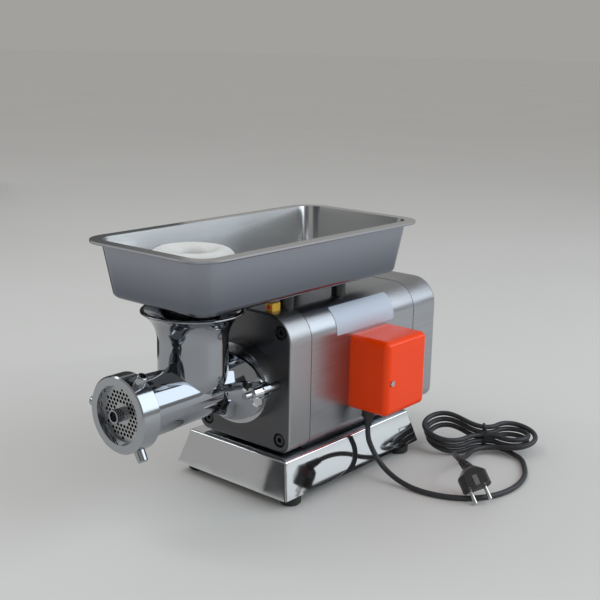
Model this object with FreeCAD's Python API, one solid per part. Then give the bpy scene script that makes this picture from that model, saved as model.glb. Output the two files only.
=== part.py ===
import FreeCAD, Part
import math
import os

from FreeCAD import Vector

# Electric meat grinder, in millimetres: X across, with the control box on +X, Y along, with the outlet
# towards -Y, and Z up from the surface it stands on. Pieces are drawn about the plane of symmetry and
# the middle of the base, and saved about the middle of the whole machine.

# Clearances that the pieces share
running_gap = 0.05
slip_gap = 0.3
face_gap = 0.1
tooth_play = 0.16

# Base, feet and the pad under the body
foot_height = 13.0
foot_radius = 13.0
foot_inset_x = 15.0
foot_inset_y = 26.0
foot_recess_radius = 6.5
foot_recess_depth = 6.0
base_width = 187.0
base_length = 277.0
base_height = 43.5
base_draft = 12.0
base_sheet = 1.5
base_edge_radius = 3.0
base_flange_width = 36.0
base_flange_thickness = 2.0
bottom_plate_thickness = 2.0
pad_thickness = 2.5
pad_width = 124.0
pad_length = 198.0
foot_screw_radius = 2.5
body_bolt_radius = 4.0
body_bolt_head = 5.0
body_bolt_reach = 8.0
body_nut_height = 6.0
body_bolt_spacing_x = 100.0
body_bolt_front = -42.0
body_bolt_rear = 104.0

# Body: one rounded section in three stretches
body_width = 151.2
body_height = 170.0
body_top_radius = 35.0
body_low_radius = 15.0
body_front = -114.0
front_housing_length = 39.0
main_shell_length = 214.0
rear_cover_length = 54.0
shell_wall = 2.0
rear_wall = 3.0
rear_edge_radius = 5.0
front_edge_radius = 3.0
housing_wall = 6.0
front_wall = 12.0
front_screw_x = 60.0
front_screw_top_inset = 20.0
front_screw_low_inset = 16.0
front_screw_radius = 4.0
front_screw_head_radius = 6.5
front_pocket_radius = 9.0
front_pocket_depth = 6.0
joint_frame_reach = 10.0
rear_boss_radius = 6.0
rear_screw_radius = 2.0
rear_screw_head = 2.0
rear_screw_hold = 12.0
rear_screw_spare = 2.0
vent_count = 7
vent_pitch = 14.0
vent_width = 6.0
vent_height = 70.0

# Drive line: gears and shafts, the layshaft's gear just clear of the housing's floor
gear_floor_gap = 6.5
gear_centres = 40.0
first_pinion_teeth = 14
first_gear_teeth = 50
second_pinion_teeth = 14
second_gear_teeth = 26
pressure_angle = math.radians(25)
first_gear_width = 7.0
second_gear_width = 12.0
gear_side_gap = 1.5
output_shaft_radius = 10.0
output_bearing_radius = 21.0
output_bearing_width = 11.0
layshaft_radius = 7.5
layshaft_bearing_radius = 16.0
layshaft_bearing_width = 9.0
motor_shaft_radius = 7.5
motor_bearing_radius = 17.5
motor_bearing_width = 11.0
bearing_web = 2.0
boss_wall = 5.0
gear_plate_thickness = 12.0
seal_thickness = 2.0
tang_square = 11.0
tang_length = 12.0

# Motor
frame_radius = 64.0
frame_wall = 6.0
frame_length = 130.0
stator_radius = frame_radius - frame_wall
stator_length = 80.0
stator_bore = 30.0
stator_slots = 24
stator_slot_width = 4.0
stator_slot_depth = 12.0
winding_length = 15.0
winding_wall = 14.0
air_gap = 0.4
shield_thickness = 12.0
fan_radius = 52.0
fan_hub_radius = 13.0
fan_blades = 9
fan_blade_thickness = 2.0
fan_length = 18.0
fan_gap = 5.0
saddle_width = 84.0
saddle_length = 20.0
saddle_spacing = 72.0

# Mounting ring and its clamp
ring_half_width = 57.5
ring_half_height = 50.0
flange_drop = 4.5
ring_bore = 38.0
ring_depth = 20.0
ring_slot_height = 10.0
ring_screw_circle = 44.0
ring_screw_radius = 2.5
ring_screw_head_radius = 4.0
ring_screw_head_height = 5.0
stud_radius = 4.0
stud_x = 57.0
stud_reach = 58.0
stud_hold = 10.0
ear_radius = 9.0
ear_thickness = 12.0
wing_hub_radius = 7.5
wing_hub_length = 14.0
wing_radius = 6.0
wing_reach = 11.0
wing_thickness = 3.6
wing_angle = -40.0

# Grinder head
head_length = 169.5
barrel_front_radius = 36.0
barrel_rear_radius = 32.5
barrel_bore = 27.5
bell_half_width = 56.0
bell_half_height = 43.5
bell_rim = 4.5
bell_length = 42.0
collar_radius = 38.5
collar_length = 16.5
neck_offset = 64.0
neck_radius = 41.0
neck_root = 28.0
throat_radius = 26.0
mouth_radius = 58.5
mouth_gap = 11.0
mouth_wall = 3.0
mouth_flare = 35.0
bush_wall = 4.0
bush_length = 12.0
auger_shank_radius = 12.0

# Ring nut, plate, knife and auger
nut_radius = 44.0
nut_lip = 8.0
nut_opening_radius = 33.5
nut_bevel = 1.5
lug_radius = 6.4
lug_tip_radius = 5.8
lug_length = 13.0
lug_angles = (59.0, 179.0, 299.0)
plate_radius = 35.0
plate_thickness = 8.0
plate_hole_radius = 1.9
plate_hole_pitch = 5.3
plate_pattern_radius = 28.0
plate_hub_radius = 11.0
nose_radius = 7.7
nose_reach = 13.0
nose_bore = 5.8
nose_bore_depth = 12.0
knife_radius = 31.0
knife_thickness = 8.0
knife_arm_width = 11.0
knife_square = 16.4
knife_hub_radius = 14.0
auger_core_radius = 13.0
auger_flight_gap = 0.6
auger_pitch = 38.0
auger_turns = 3.5
auger_flight_thickness = 5.0

# Hopper tray, posts and pusher
tray_rim_width = 200.5
tray_rim_front = -281.7
tray_rim_length = 403.5
tray_depth = 66.0
tray_rim_flange = 13.0
tray_draft_x = 9.0
tray_draft_y = 9.5
tray_corner_radius = 22.0
tray_sheet = 1.5
tray_bead_radius = 1.75
tray_floor_radius = 8.0
tray_hole_radius = 30.0
spigot_depth = 26.0
tray_post_height = 25.0
tray_post_radius = 9.0
tray_post_x = 38.0
tray_post_front = -78.5
tray_post_rear = 21.5
plunger_radius = 24.0
plunger_depth = 50.0
pusher_shoulder_radius = 37.0
pusher_shoulder_height = 5.0
pusher_waist_radius = 22.0
pusher_top_radius = 47.5
pusher_top_height = 57.0
pusher_rim = 5.8
pusher_dish = 9.5
pusher_crest_radius = 31.0
pusher_hole_radius = 22.0
pusher_draft = 2.0
pusher_floor = 8.0

# Stop switch on the body's shoulder
switch_width = 11.0
switch_length = 14.6
switch_height = 10.0
switch_x = 33.5
switch_setback = 8.5
button_radius = 2.8
button_proud = 1.8
button_hold = 3.0
button_travel = 1.5

# Control box on the +X side
box_depth = 58.65
box_length = 85.2
box_height = 96.5
box_front = 0.9
box_low = 90.0
box_wall = 2.5
box_edge_radius = 8.0
box_screw_radius = 2.0
box_screw_head_radius = 3.6
box_screw_head = 2.0
box_screw_hold = 14.0
box_screw_spare = 2.0
box_screw_slot = 1.0
box_screw_inset = 10.0
box_screw_height = 44.0
box_pillar_radius = 5.0
bracket_thickness = 1.5
bracket_gap = 0.5
capacitor_depth = 28.0
capacitor_width = 22.0
capacitor_height = 50.0
capacitor_offset = 10.0
capacitor_edge_radius = 3.0
gland_x = 97.3
gland_y = 14.5
gland_nut_radius = 8.5
gland_nut_length = 8.0
gland_sleeve_length = 13.2
gland_tip_radius = 4.8
wire_hole_radius = 7.0

# Mains lead, hank and plug
cord_diameter = 6.8
hank_loops = 3
hank_x = 159.6
hank_y = 202.1
hank_angle = 40.0
hank_lift = 1.4
hank_layer = 8.2
hank_left_radius = 27.0
hank_left_offset = 50.0
hank_left_rise = 20.0
hank_right_radius = 21.0
hank_right_offset = 37.0
hank_fan_step = 2.0
hank_waist = 4.0
hank_last_reach = 44.0
hank_last_top = 24.0
hank_last_low = 37.5
hank_last_layer = 1.25
hank_exit_along = 6.0
hank_exit_step = 15.5
hank_exit_layer = 0.5
hank_entry_radius = 34.0
hank_entry_turn = math.radians(62)
tie_width = 3.0
tie_thickness = 0.9
plug_face = Vector(242.5, 45.6, 17.0)
plug_aim = Vector(0.68, -0.28, -0.68)
plug_across = Vector(0.61, 0.75, 0.27)
relief_aim = Vector(-0.87, 0.46, 0.15)
pin_radius = 2.4
pin_length = 19.0
pin_spacing = 19.0
plug_radius = 18.5
plug_flat = 13.0
plug_length = 17.0
plug_taper_length = 9.0
plug_neck_radius = 7.0
relief_length = 18.0
relief_tip_radius = 4.6
relief_rings = 4
clip_width = 6.0
clip_length = 13.0
clip_thickness = 1.2

# Places worked out from the sizes above
base_top = foot_height + base_height
body_floor = base_top + pad_thickness
body_top = body_floor + body_height
body_half = body_width / 2
housing_rear = body_front + front_housing_length
shell_rear = housing_rear + main_shell_length
body_rear = shell_rear + rear_cover_length
front_screw_places = [(side * front_screw_x, z)
                      for side in (-1, 1)
                      for z in (body_top - front_screw_top_inset, body_floor + front_screw_low_inset)]
first_module = 2 * gear_centres / (first_pinion_teeth + first_gear_teeth)
second_module = 2 * gear_centres / (second_pinion_teeth + second_gear_teeth)
first_gear_tip = first_module * (first_gear_teeth / 2 + 1)
layshaft_height = body_floor + housing_wall + gear_floor_gap + first_gear_tip
drive_height = layshaft_height + gear_centres
cavity_front = body_front + front_wall
output_gear_front = body_front + bearing_web + 2 * output_bearing_width + gear_side_gap
output_gear_rear = output_gear_front + second_gear_width
first_gear_front = output_gear_rear + gear_side_gap
first_gear_rear = first_gear_front + first_gear_width
plate_front = first_gear_rear + gear_side_gap
plate_rear = plate_front + gear_plate_thickness
frame_rear = plate_rear + frame_length
shield_rear = frame_rear + shield_thickness
stator_front = plate_rear + (frame_length - stator_length) / 2
stator_rear = stator_front + stator_length
fan_front = shield_rear + fan_gap
ring_front = body_front - ring_depth
head_seat = ring_front
head_front = head_seat - head_length
spigot_rear = body_front - 2 * seal_thickness
bush_front = spigot_rear - bush_length
cut_front = head_front - face_gap * 5
cut_rear = cut_front + plate_thickness
knife_rear = cut_rear + face_gap + knife_thickness
nut_front = cut_front - face_gap - nut_lip
nut_rear = head_front + collar_length
neck_y = head_seat - neck_offset
tray_floor_height = body_top + tray_post_height
tray_rim_height = tray_floor_height + tray_depth
tray_floor_top = tray_floor_height + tray_sheet
mouth_height = tray_floor_height - mouth_gap
box_out = body_half + box_depth
cord_radius = cord_diameter / 2
gland_low = box_low - gland_nut_length - gland_sleeve_length
nose_front = cut_front - nose_reach
saved_shift = Vector(-(box_out + box_screw_head - tray_rim_width / 2) / 2,
                     -(nose_front + body_rear + rear_screw_head) / 2, 0)


def save(name, *shapes):
    """Write one node: its solids, moved to the machine's own origin."""
    group = shapes[0].copy() if len(shapes) == 1 else Part.makeCompound([s.copy() for s in shapes])
    group.translate(saved_shift)
    group.exportStep(f"parts/{name}.step")


def block(x0, x1, y0, y1, z0, z1):
    return Part.makeBox(x1 - x0, y1 - y0, z1 - z0, Vector(x0, y0, z0))


def rod(radius, y0, y1, x=0.0, z=drive_height):
    """A round bar along Y."""
    return Part.makeCylinder(radius, y1 - y0, Vector(x, y0, z), Vector(0, 1, 0))


def tube(bore, radius, y0, y1, x=0.0, z=drive_height):
    return rod(radius, y0, y1, x, z).cut(rod(bore, y0, y1, x, z))


def pillar(radius, z0, z1, x, y):
    """A round bar along Z."""
    return Part.makeCylinder(radius, z1 - z0, Vector(x, y, z0))


def outline(place, start, *steps):
    """A closed face from lines (a, b) and arcs (a mid, b mid, a, b), set in space by place."""
    edges = []
    here = place(*start)
    for step in steps + (start,):
        there = place(*step[-2:])
        if len(step) == 4:
            edges.append(Part.Arc(here, place(*step[:2]), there).toShape())
        elif (there - here).Length > 1e-6:
            edges.append(Part.LineSegment(here, there).toShape())
        here = there
    return Part.Face(Part.Wire(edges))


def turned_y(start, *steps, z=drive_height):
    """A solid turned about the line along Y at height z, from (y, radius) points."""
    face = outline(lambda y, r: Vector(r, y, z), start, *steps)
    return face.revolve(Vector(0, 0, z), Vector(0, 1, 0), 360)


def turned_z(x, y, start, *steps):
    """A solid turned about the upright line at x, y, from (radius, z) points."""
    face = outline(lambda r, z: Vector(x + r, y, z), start, *steps)
    return face.revolve(Vector(x, y, 0), Vector(0, 0, 1), 360)


def rounded_rectangle(x0, x1, y0, y1, z, radius):
    """A level wire with equal round corners."""
    tip = radius * (1 - math.sqrt(0.5))
    face = outline(lambda x, y: Vector(x, y, z),
                   (x0 + radius, y0),
                   (x1 - radius, y0), (x1 - tip, y0 + tip, x1, y0 + radius),
                   (x1, y1 - radius), (x1 - tip, y1 - tip, x1 - radius, y1),
                   (x0 + radius, y1), (x0 + tip, y1 - tip, x0, y1 - radius),
                   (x0, y0 + radius), (x0 + tip, y0 + tip, x0 + radius, y0))
    return face.OuterWire


def body_prism(inset, y0, y1):
    """The body's rounded section, drawn in by inset, from y0 to y1."""
    half = body_half - inset
    low = body_floor + inset
    high = body_top - inset
    r = body_low_radius - inset
    big = body_top_radius - inset
    tip = r * (1 - math.sqrt(0.5))
    big_tip = big * (1 - math.sqrt(0.5))
    face = outline(lambda x, z: Vector(x, y0, z),
                   (-half + r, low),
                   (half - r, low), (half - tip, low + tip, half, low + r),
                   (half, high - big), (half - big_tip, high - big_tip, half - big, high),
                   (-half + big, high), (-half + big_tip, high - big_tip, -half, high - big),
                   (-half, low + r), (-half + tip, low + tip, -half + r, low))
    return face.extrude(Vector(0, y1 - y0, 0))


def oval(half_width, half_height, y0, y1):
    """An oval bar along Y, hung a little below the drive axis."""
    edge = Part.Ellipse(Vector(0, y0, drive_height - flange_drop), half_width, half_height).toShape()
    edge.rotate(Vector(0, y0, drive_height - flange_drop), Vector(1, 0, 0), 90)
    return Part.Face(Part.Wire([edge])).extrude(Vector(0, y1 - y0, 0))


def soften(solid, radius, wanted):
    """Round the edges that wanted picks by their middle point."""
    edges = [e for e in solid.Edges if wanted(e.CenterOfMass)]
    return solid.makeFillet(radius, edges)


def socket_screw(radius, head_radius, head_front, head_rear, shank_rear, x, z):
    """A hexagon-socket screw along Y, entered from the front."""
    key = Part.makePolygon([Vector(x + head_radius * 0.5 * math.cos(a * math.pi / 3), head_front,
                                   z + head_radius * 0.5 * math.sin(a * math.pi / 3)) for a in range(7)])
    recess = Part.Face(Part.Wire(key)).extrude(Vector(0, (head_rear - head_front) * 0.6, 0))
    screw = rod(head_radius, head_front, head_rear, x, z).fuse(rod(radius, head_rear, shank_rear, x, z))
    return screw.cut(recess)


def gear(teeth, module, bore, y0, y1, z, tooth_at):
    """A spur gear along Y whose involute flanks are arcs, with one tooth centred at angle tooth_at."""
    pitch = teeth * module / 2
    ground = pitch * math.cos(pressure_angle)
    tip = pitch + module
    root = pitch - 1.25 * module
    low = max(ground, root)
    involute = math.tan(pressure_angle) - pressure_angle
    half_pitch = math.pi / 2 / teeth - tooth_play / 2 / pitch

    def half_tooth(radius):
        lean = math.acos(min(1.0, ground / radius))
        return half_pitch + involute - (math.tan(lean) - lean)

    def at(radius, angle):
        return Vector(radius * math.cos(angle), y0, z + radius * math.sin(angle))

    edges = []
    middle = (low + tip) / 2
    step = 2 * math.pi / teeth
    for tooth in range(teeth):
        turn = tooth_at + tooth * step
        rise = [at(r, turn - half_tooth(r)) for r in (low, middle, tip)]
        fall = [at(r, turn + half_tooth(r)) for r in (tip, middle, low)]
        foot = at(root, turn - half_tooth(low))
        heel = at(root, turn + half_tooth(low))
        next_foot = at(root, turn + step - half_tooth(low))
        if root < ground:
            edges.append(Part.LineSegment(foot, rise[0]).toShape())
        edges.append(Part.Arc(*rise).toShape())
        edges.append(Part.LineSegment(rise[2], fall[0]).toShape())
        edges.append(Part.Arc(*fall).toShape())
        if root < ground:
            edges.append(Part.LineSegment(fall[2], heel).toShape())
        edges.append(Part.LineSegment(heel, next_foot).toShape())
    blank = Part.Face(Part.Wire(edges)).extrude(Vector(0, y1 - y0, 0))
    return blank.cut(rod(bore, y0, y1, 0, z)) if bore else blank


def arc_from(start, heading, end):
    """The arc that leaves start along heading and reaches end, or a line where they are in line."""
    chord = end - start
    side = chord - heading * chord.dot(heading)
    if side.Length < 1e-6:
        return Part.LineSegment(start, end).toShape()
    radius = chord.Length ** 2 / (2 * side.Length)
    side.normalize()
    centre = start + side * radius
    middle = start + chord * 0.5 - centre
    middle.normalize()
    return Part.Arc(start, centre + middle * radius, end).toShape()


def biarc(start, heading, end, arrival):
    """Two tangent arcs from one place and heading to another."""
    span = end - start
    along = span.dot(heading + arrival)
    spread = 2 * (1 - heading.dot(arrival))
    if spread < 1e-9:
        reach = span.dot(span) / (4 * span.dot(heading))
    else:
        reach = (math.sqrt(along ** 2 + spread * span.dot(span)) - along) / spread
    joint = (start + end + (heading - arrival) * reach) * 0.5
    first = arc_from(start, heading, joint)
    return [first, arc_from(joint, first.tangentAt(first.LastParameter), end)]


def cord_tube(edges):
    """The cord's round section carried along joined edges."""
    path = Part.Wire(edges)
    start = edges[0].valueAt(edges[0].FirstParameter)
    heading = edges[0].tangentAt(edges[0].FirstParameter)
    ring = Part.Wire([Part.makeCircle(cord_radius, start, heading)])
    return path.makePipeShell([ring], True, False)


def rounded_route(points):
    """Straight runs joined by tangent arcs, each as large as its two runs allow."""
    edges = []
    radii = []
    here = points[0]
    for before, corner, after in zip(points, points[1:], points[2:]):
        back = before - corner
        ahead = after - corner
        run = min(back.Length, ahead.Length)
        back.normalize()
        ahead.normalize()
        turn = math.pi - back.getAngle(ahead)
        trim = 0.45 * run
        radii.append(trim / math.tan(turn / 2))
        entry = corner + back * trim
        leave = corner + ahead * trim
        edges.append(Part.LineSegment(here, entry).toShape())
        edges.append(arc_from(entry, back * -1, leave))
        here = leave
    edges.append(Part.LineSegment(here, points[-1]).toShape())
    return edges, radii


def report_tube(name, solid, edges, radii):
    length = sum(e.Length for e in edges)
    share = solid.Volume / (math.pi * cord_radius ** 2 * length)
    least = f", least radius {min(radii):.1f}, radii {[round(r) for r in radii]}" if radii else ""
    print(f"{name}: length {length:.1f}, volume over section times length {share:.4f}{least}")


os.makedirs("parts", exist_ok=True)

# Base: a folded skirt with sloping sides, an open foot with a turned-in flange, and a bolted bottom plate
base_half_x = base_width / 2
base_half_y = base_length / 2


def base_block(inset, z0, z1):
    """The skirt's sloping block between two heights, drawn in by inset on each side."""
    wires = []
    for z in (z0, z1):
        lean = base_draft * (z - foot_height) / base_height + inset
        wires.append(Part.makePolygon([Vector(sx * (base_half_x - lean), sy * (base_half_y - lean), z)
                                       for sx, sy in ((-1, -1), (1, -1), (1, 1), (-1, 1), (-1, -1))]))
    return Part.makeLoft(wires, True, True)


bolt_places = [(side * body_bolt_spacing_x / 2, y)
               for side in (-1, 1) for y in (body_bolt_front, body_bolt_rear)]
foot_places = [(sx * (base_half_x - foot_inset_x), sy * (base_half_y - foot_inset_y))
               for sx in (-1, 1) for sy in (-1, 1)]
flange_low = foot_height + bottom_plate_thickness
flange_top = flange_low + base_flange_thickness

skirt = soften(base_block(0, foot_height, base_top), base_edge_radius, lambda c: c.z > foot_height + 1)
skirt = skirt.cut(base_block(base_sheet, foot_height, base_top - base_sheet))
rim_x = base_half_x - base_flange_width
rim_y = base_half_y - base_flange_width
flange = base_block(base_sheet / 2, flange_low, flange_top)
flange = flange.cut(block(-rim_x, rim_x, -rim_y, rim_y, flange_low, flange_top))
skirt = skirt.fuse(flange)
for x, y in bolt_places:
    skirt = skirt.cut(pillar(body_bolt_radius + slip_gap, flange_top, base_top, x, y))
for x, y in foot_places:
    skirt = skirt.cut(pillar(foot_screw_radius + running_gap, flange_low, flange_top, x, y))
save("base_skirt", skirt)

plate_lean = base_sheet + base_draft * bottom_plate_thickness / base_height + slip_gap
bottom_x = base_half_x - plate_lean
bottom_y = base_half_y - plate_lean
bottom_plate = block(-bottom_x, bottom_x, -bottom_y, bottom_y, foot_height, flange_low)
for x, y in foot_places:
    bottom_plate = bottom_plate.cut(pillar(foot_screw_radius + slip_gap, foot_height, flange_low, x, y))
save("bottom_plate", bottom_plate)

feet = []
foot_screws = []
for x, y in foot_places:
    foot = turned_z(x, y, (0, 0), (foot_radius - 2, 0), (foot_radius, 2), (foot_radius, foot_height),
                    (0, foot_height))
    foot = foot.cut(pillar(foot_recess_radius, 0, foot_recess_depth, x, y))
    feet.append(foot.cut(pillar(foot_screw_radius + slip_gap, 0, foot_height, x, y)))
    head = pillar(foot_recess_radius - 1, foot_recess_depth - 3, foot_recess_depth, x, y)
    foot_screws.append(head.fuse(pillar(foot_screw_radius, foot_recess_depth, flange_top + 3, x, y)))
save("rubber_feet", *feet)
save("foot_screws", *foot_screws)

pad_front = housing_rear + 1
pad = block(-pad_width / 2, pad_width / 2, pad_front, pad_front + pad_length, base_top, body_floor)
bolts = []
nuts = []
for x, y in bolt_places:
    pad = pad.cut(pillar(body_bolt_radius + slip_gap, base_top, body_floor, x, y))
    head_low = base_top - base_sheet - body_bolt_head
    shank_top = body_floor + shell_wall + body_bolt_reach
    bolt = pillar(body_bolt_radius * 1.6, head_low, base_top - base_sheet, x, y)
    bolts.append(bolt.fuse(pillar(body_bolt_radius, base_top - base_sheet, shank_top, x, y)))
    nut = Part.Face(Part.Wire(Part.makePolygon(
        [Vector(x + body_bolt_radius * 1.85 * math.cos(a * math.pi / 3),
                y + body_bolt_radius * 1.85 * math.sin(a * math.pi / 3), body_floor + shell_wall)
         for a in range(7)]))).extrude(Vector(0, 0, body_nut_height))
    nuts.append(nut.cut(pillar(body_bolt_radius + running_gap, body_floor, shank_top, x, y)))
save("body_pad", pad)
save("body_bolts", *bolts)
save("body_nuts", *nuts)

# Front gear housing: a cast box with a thick front wall, bearing boss and pocketed screws
housing = soften(body_prism(0, body_front, housing_rear), front_edge_radius,
                 lambda c: c.y < body_front + 0.01)
housing = housing.cut(body_prism(housing_wall, cavity_front, housing_rear))
bearing_rear = body_front + bearing_web + 2 * output_bearing_width
housing = housing.fuse(rod(output_bearing_radius + boss_wall, cavity_front, bearing_rear))
housing = housing.cut(rod(output_bearing_radius, body_front + bearing_web, bearing_rear))
housing = housing.cut(rod(output_shaft_radius + 2, body_front, body_front + bearing_web))
lay_bearing_front = cavity_front - layshaft_bearing_width
housing = housing.cut(rod(layshaft_bearing_radius, lay_bearing_front, housing_rear, z=layshaft_height))
for x, z in front_screw_places:
    housing = housing.cut(rod(front_pocket_radius, body_front, body_front + front_pocket_depth, x, z))
    housing = housing.cut(rod(front_screw_radius + running_gap, body_front, cavity_front, x, z))
for side in (-1, 1):
    hole = rod(stud_radius + running_gap, body_front, body_front + stud_hold, side * stud_x)
    housing = housing.cut(hole)
ring_screw_places = [(ring_screw_circle * math.cos(a), drive_height + ring_screw_circle * math.sin(a))
                     for a in (math.pi / 4, 3 * math.pi / 4, 5 * math.pi / 4, 7 * math.pi / 4)]
for x, z in ring_screw_places:
    housing = housing.cut(rod(ring_screw_radius + running_gap, body_front, body_front + stud_hold, x, z))
save("front_housing", housing)

screw_seat = body_front + front_pocket_depth
save("front_screws", *[socket_screw(front_screw_radius, front_screw_head_radius, body_front + 1, screw_seat,
                                    plate_rear - 2, x, z) for x, z in front_screw_places])

# Gear plate: closes the gear space behind the housing and carries the motor's front bearing
inner_inset = shell_wall + slip_gap
gear_plate = body_prism(inner_inset, housing_rear, plate_rear)
gear_plate = gear_plate.cut(body_prism(housing_wall, housing_rear, plate_front))
lay_bearing_rear = plate_front + layshaft_bearing_width
gear_plate = gear_plate.cut(rod(layshaft_bearing_radius, plate_front, lay_bearing_rear, z=layshaft_height))
motor_bearing_front = plate_rear - motor_bearing_width
gear_plate = gear_plate.cut(rod(motor_bearing_radius, motor_bearing_front, plate_rear))
gear_plate = gear_plate.cut(rod(motor_shaft_radius + 1.5, plate_front, plate_rear))
for x, z in front_screw_places:
    gear_plate = gear_plate.cut(rod(front_screw_radius + running_gap, plate_front, plate_rear, x, z))
save("gear_plate", gear_plate)

# Main shell: a sheet wrapper, with a hole for the wires to the control box
shell = body_prism(0, housing_rear, shell_rear).cut(body_prism(shell_wall, housing_rear, shell_rear))
for x, y in bolt_places:
    shell = shell.cut(pillar(body_bolt_radius + slip_gap, body_floor, body_floor + shell_wall, x, y))
wire_y = box_front + box_length / 2
wire_z = box_low + box_height / 2
wire_inside = Vector(body_half - 2 * shell_wall, wire_y, wire_z)
wire_hole = Part.makeCylinder(wire_hole_radius, 4 * shell_wall, wire_inside, Vector(1, 0, 0))
shell = shell.cut(wire_hole)
save("main_shell", shell)

# Rear cover: a deep cap with cooling slots, screwed to bosses on the joint frame
cover = soften(body_prism(0, shell_rear, body_rear), rear_edge_radius, lambda c: c.y > body_rear - 0.01)
cover = cover.cut(body_prism(shell_wall, shell_rear, body_rear - rear_wall))
boss_out = rear_boss_radius + inner_inset + running_gap
boss_places = []
for side in (-1, 1):
    for radius, corner_z, lift in ((body_top_radius, body_top - body_top_radius, 1),
                                   (body_low_radius, body_floor + body_low_radius, -1)):
        diagonal = (radius - boss_out) * math.sqrt(0.5)
        boss_places.append((side * (body_half - radius + diagonal), corner_z + lift * diagonal))
for x, z in boss_places:
    cover = cover.cut(rod(rear_screw_radius + slip_gap, body_rear - rear_wall, body_rear, x, z))
for slot in range(vent_count):
    x = (slot - (vent_count - 1) / 2) * vent_pitch
    cover = cover.cut(block(x - vent_width / 2, x + vent_width / 2, body_rear - rear_wall, body_rear,
                            drive_height - vent_height / 2, drive_height + vent_height / 2))
save("rear_cover", cover)

frame_front = shell_rear - joint_frame_reach
joint_frame = body_prism(inner_inset, frame_front, shell_rear + joint_frame_reach)
joint_frame = joint_frame.cut(body_prism(housing_wall, frame_front, shell_rear + joint_frame_reach))
rear_screws = []
for x, z in boss_places:
    boss_rear = body_rear - rear_wall
    joint_frame = joint_frame.fuse(rod(rear_boss_radius, frame_front, boss_rear, x, z))
    screw_front = boss_rear - rear_screw_hold
    joint_frame = joint_frame.cut(rod(rear_screw_radius + running_gap, screw_front - rear_screw_spare,
                                      boss_rear, x, z))
    screw = rod(rear_screw_radius * 2.2, body_rear, body_rear + rear_screw_head, x, z)
    rear_screws.append(screw.fuse(rod(rear_screw_radius, screw_front, body_rear, x, z)))
save("joint_frame", joint_frame)
save("rear_screws", *rear_screws)

# Drive line: bearings, seal, output shaft and two gear steps through a layshaft
bearing_front = body_front + bearing_web
save("output_bearings", *[tube(output_shaft_radius + running_gap, output_bearing_radius,
                               bearing_front + n * output_bearing_width,
                               bearing_front + (n + 1) * output_bearing_width) for n in (0, 1)])
save("shaft_seal", tube(output_shaft_radius + slip_gap, output_bearing_radius - 1,
                        body_front - seal_thickness, body_front))
save("layshaft_bearings",
     tube(layshaft_radius + running_gap, layshaft_bearing_radius, lay_bearing_front, cavity_front,
          z=layshaft_height),
     tube(layshaft_radius + running_gap, layshaft_bearing_radius, plate_front, lay_bearing_rear,
          z=layshaft_height))

shaft_front = spigot_rear + face_gap
half_socket = tang_square / 2 + face_gap
socket_rear = shaft_front + tang_length + face_gap
output_shaft = rod(output_shaft_radius, shaft_front, output_gear_rear)
output_shaft = output_shaft.cut(block(-half_socket, half_socket, shaft_front, socket_rear,
                                      drive_height - half_socket, drive_height + half_socket))
save("output_shaft", output_shaft)
save("output_gear", gear(second_gear_teeth, second_module, output_shaft_radius, output_gear_front,
                         output_gear_rear, drive_height, -math.pi / 2 + math.pi / second_gear_teeth))

layshaft = rod(layshaft_radius, lay_bearing_front + face_gap, lay_bearing_rear - face_gap, z=layshaft_height)
lay_pinion = gear(second_pinion_teeth, second_module, 0, output_gear_front, output_gear_rear,
                  layshaft_height, math.pi / 2)
save("layshaft", layshaft.fuse(lay_pinion))
save("layshaft_gear", gear(first_gear_teeth, first_module, layshaft_radius, first_gear_front,
                           first_gear_rear, layshaft_height, math.pi / 2 + math.pi / first_gear_teeth))

# Motor: frame, wound stator, end shield, bearings, rotor and fan
stator = tube(stator_bore, stator_radius, stator_front, stator_rear)
slot = block(-stator_slot_width / 2, stator_slot_width / 2, stator_front, stator_rear,
             drive_height + stator_bore - 1, drive_height + stator_bore + stator_slot_depth)
slots = []
for n in range(stator_slots):
    turned = slot.copy()
    turned.rotate(Vector(0, 0, drive_height), Vector(0, 1, 0), n * 360 / stator_slots)
    slots.append(turned)
save("stator", stator.cut(Part.makeCompound(slots)))
winding_bore = stator_bore + 3
save("windings",
     tube(winding_bore, winding_bore + winding_wall, stator_front - winding_length, stator_front),
     tube(winding_bore, winding_bore + winding_wall, stator_rear, stator_rear + winding_length))
shield = rod(frame_radius, frame_rear, shield_rear)
shield = shield.cut(rod(motor_bearing_radius, frame_rear, frame_rear + motor_bearing_width))
shield = shield.cut(rod(motor_shaft_radius + 1, frame_rear, shield_rear))
save("motor_frame", tube(stator_radius, frame_radius, plate_rear, frame_rear))
save("end_shield", shield)
save("motor_bearings",
     tube(motor_shaft_radius + running_gap, motor_bearing_radius, motor_bearing_front, plate_rear),
     tube(motor_shaft_radius + running_gap, motor_bearing_radius, frame_rear,
          frame_rear + motor_bearing_width))
saddle_floor = body_floor + shell_wall
saddles = []
saddle_middle = (plate_rear + frame_rear) / 2
for y in (saddle_middle - saddle_spacing / 2, saddle_middle + saddle_spacing / 2):
    saddle = block(-saddle_width / 2, saddle_width / 2, y - saddle_length / 2, y + saddle_length / 2,
                   saddle_floor, drive_height - frame_radius * 0.72)
    saddles.append(saddle.cut(rod(frame_radius, y - saddle_length, y + saddle_length)))
save("motor_saddles", *saddles)

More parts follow.
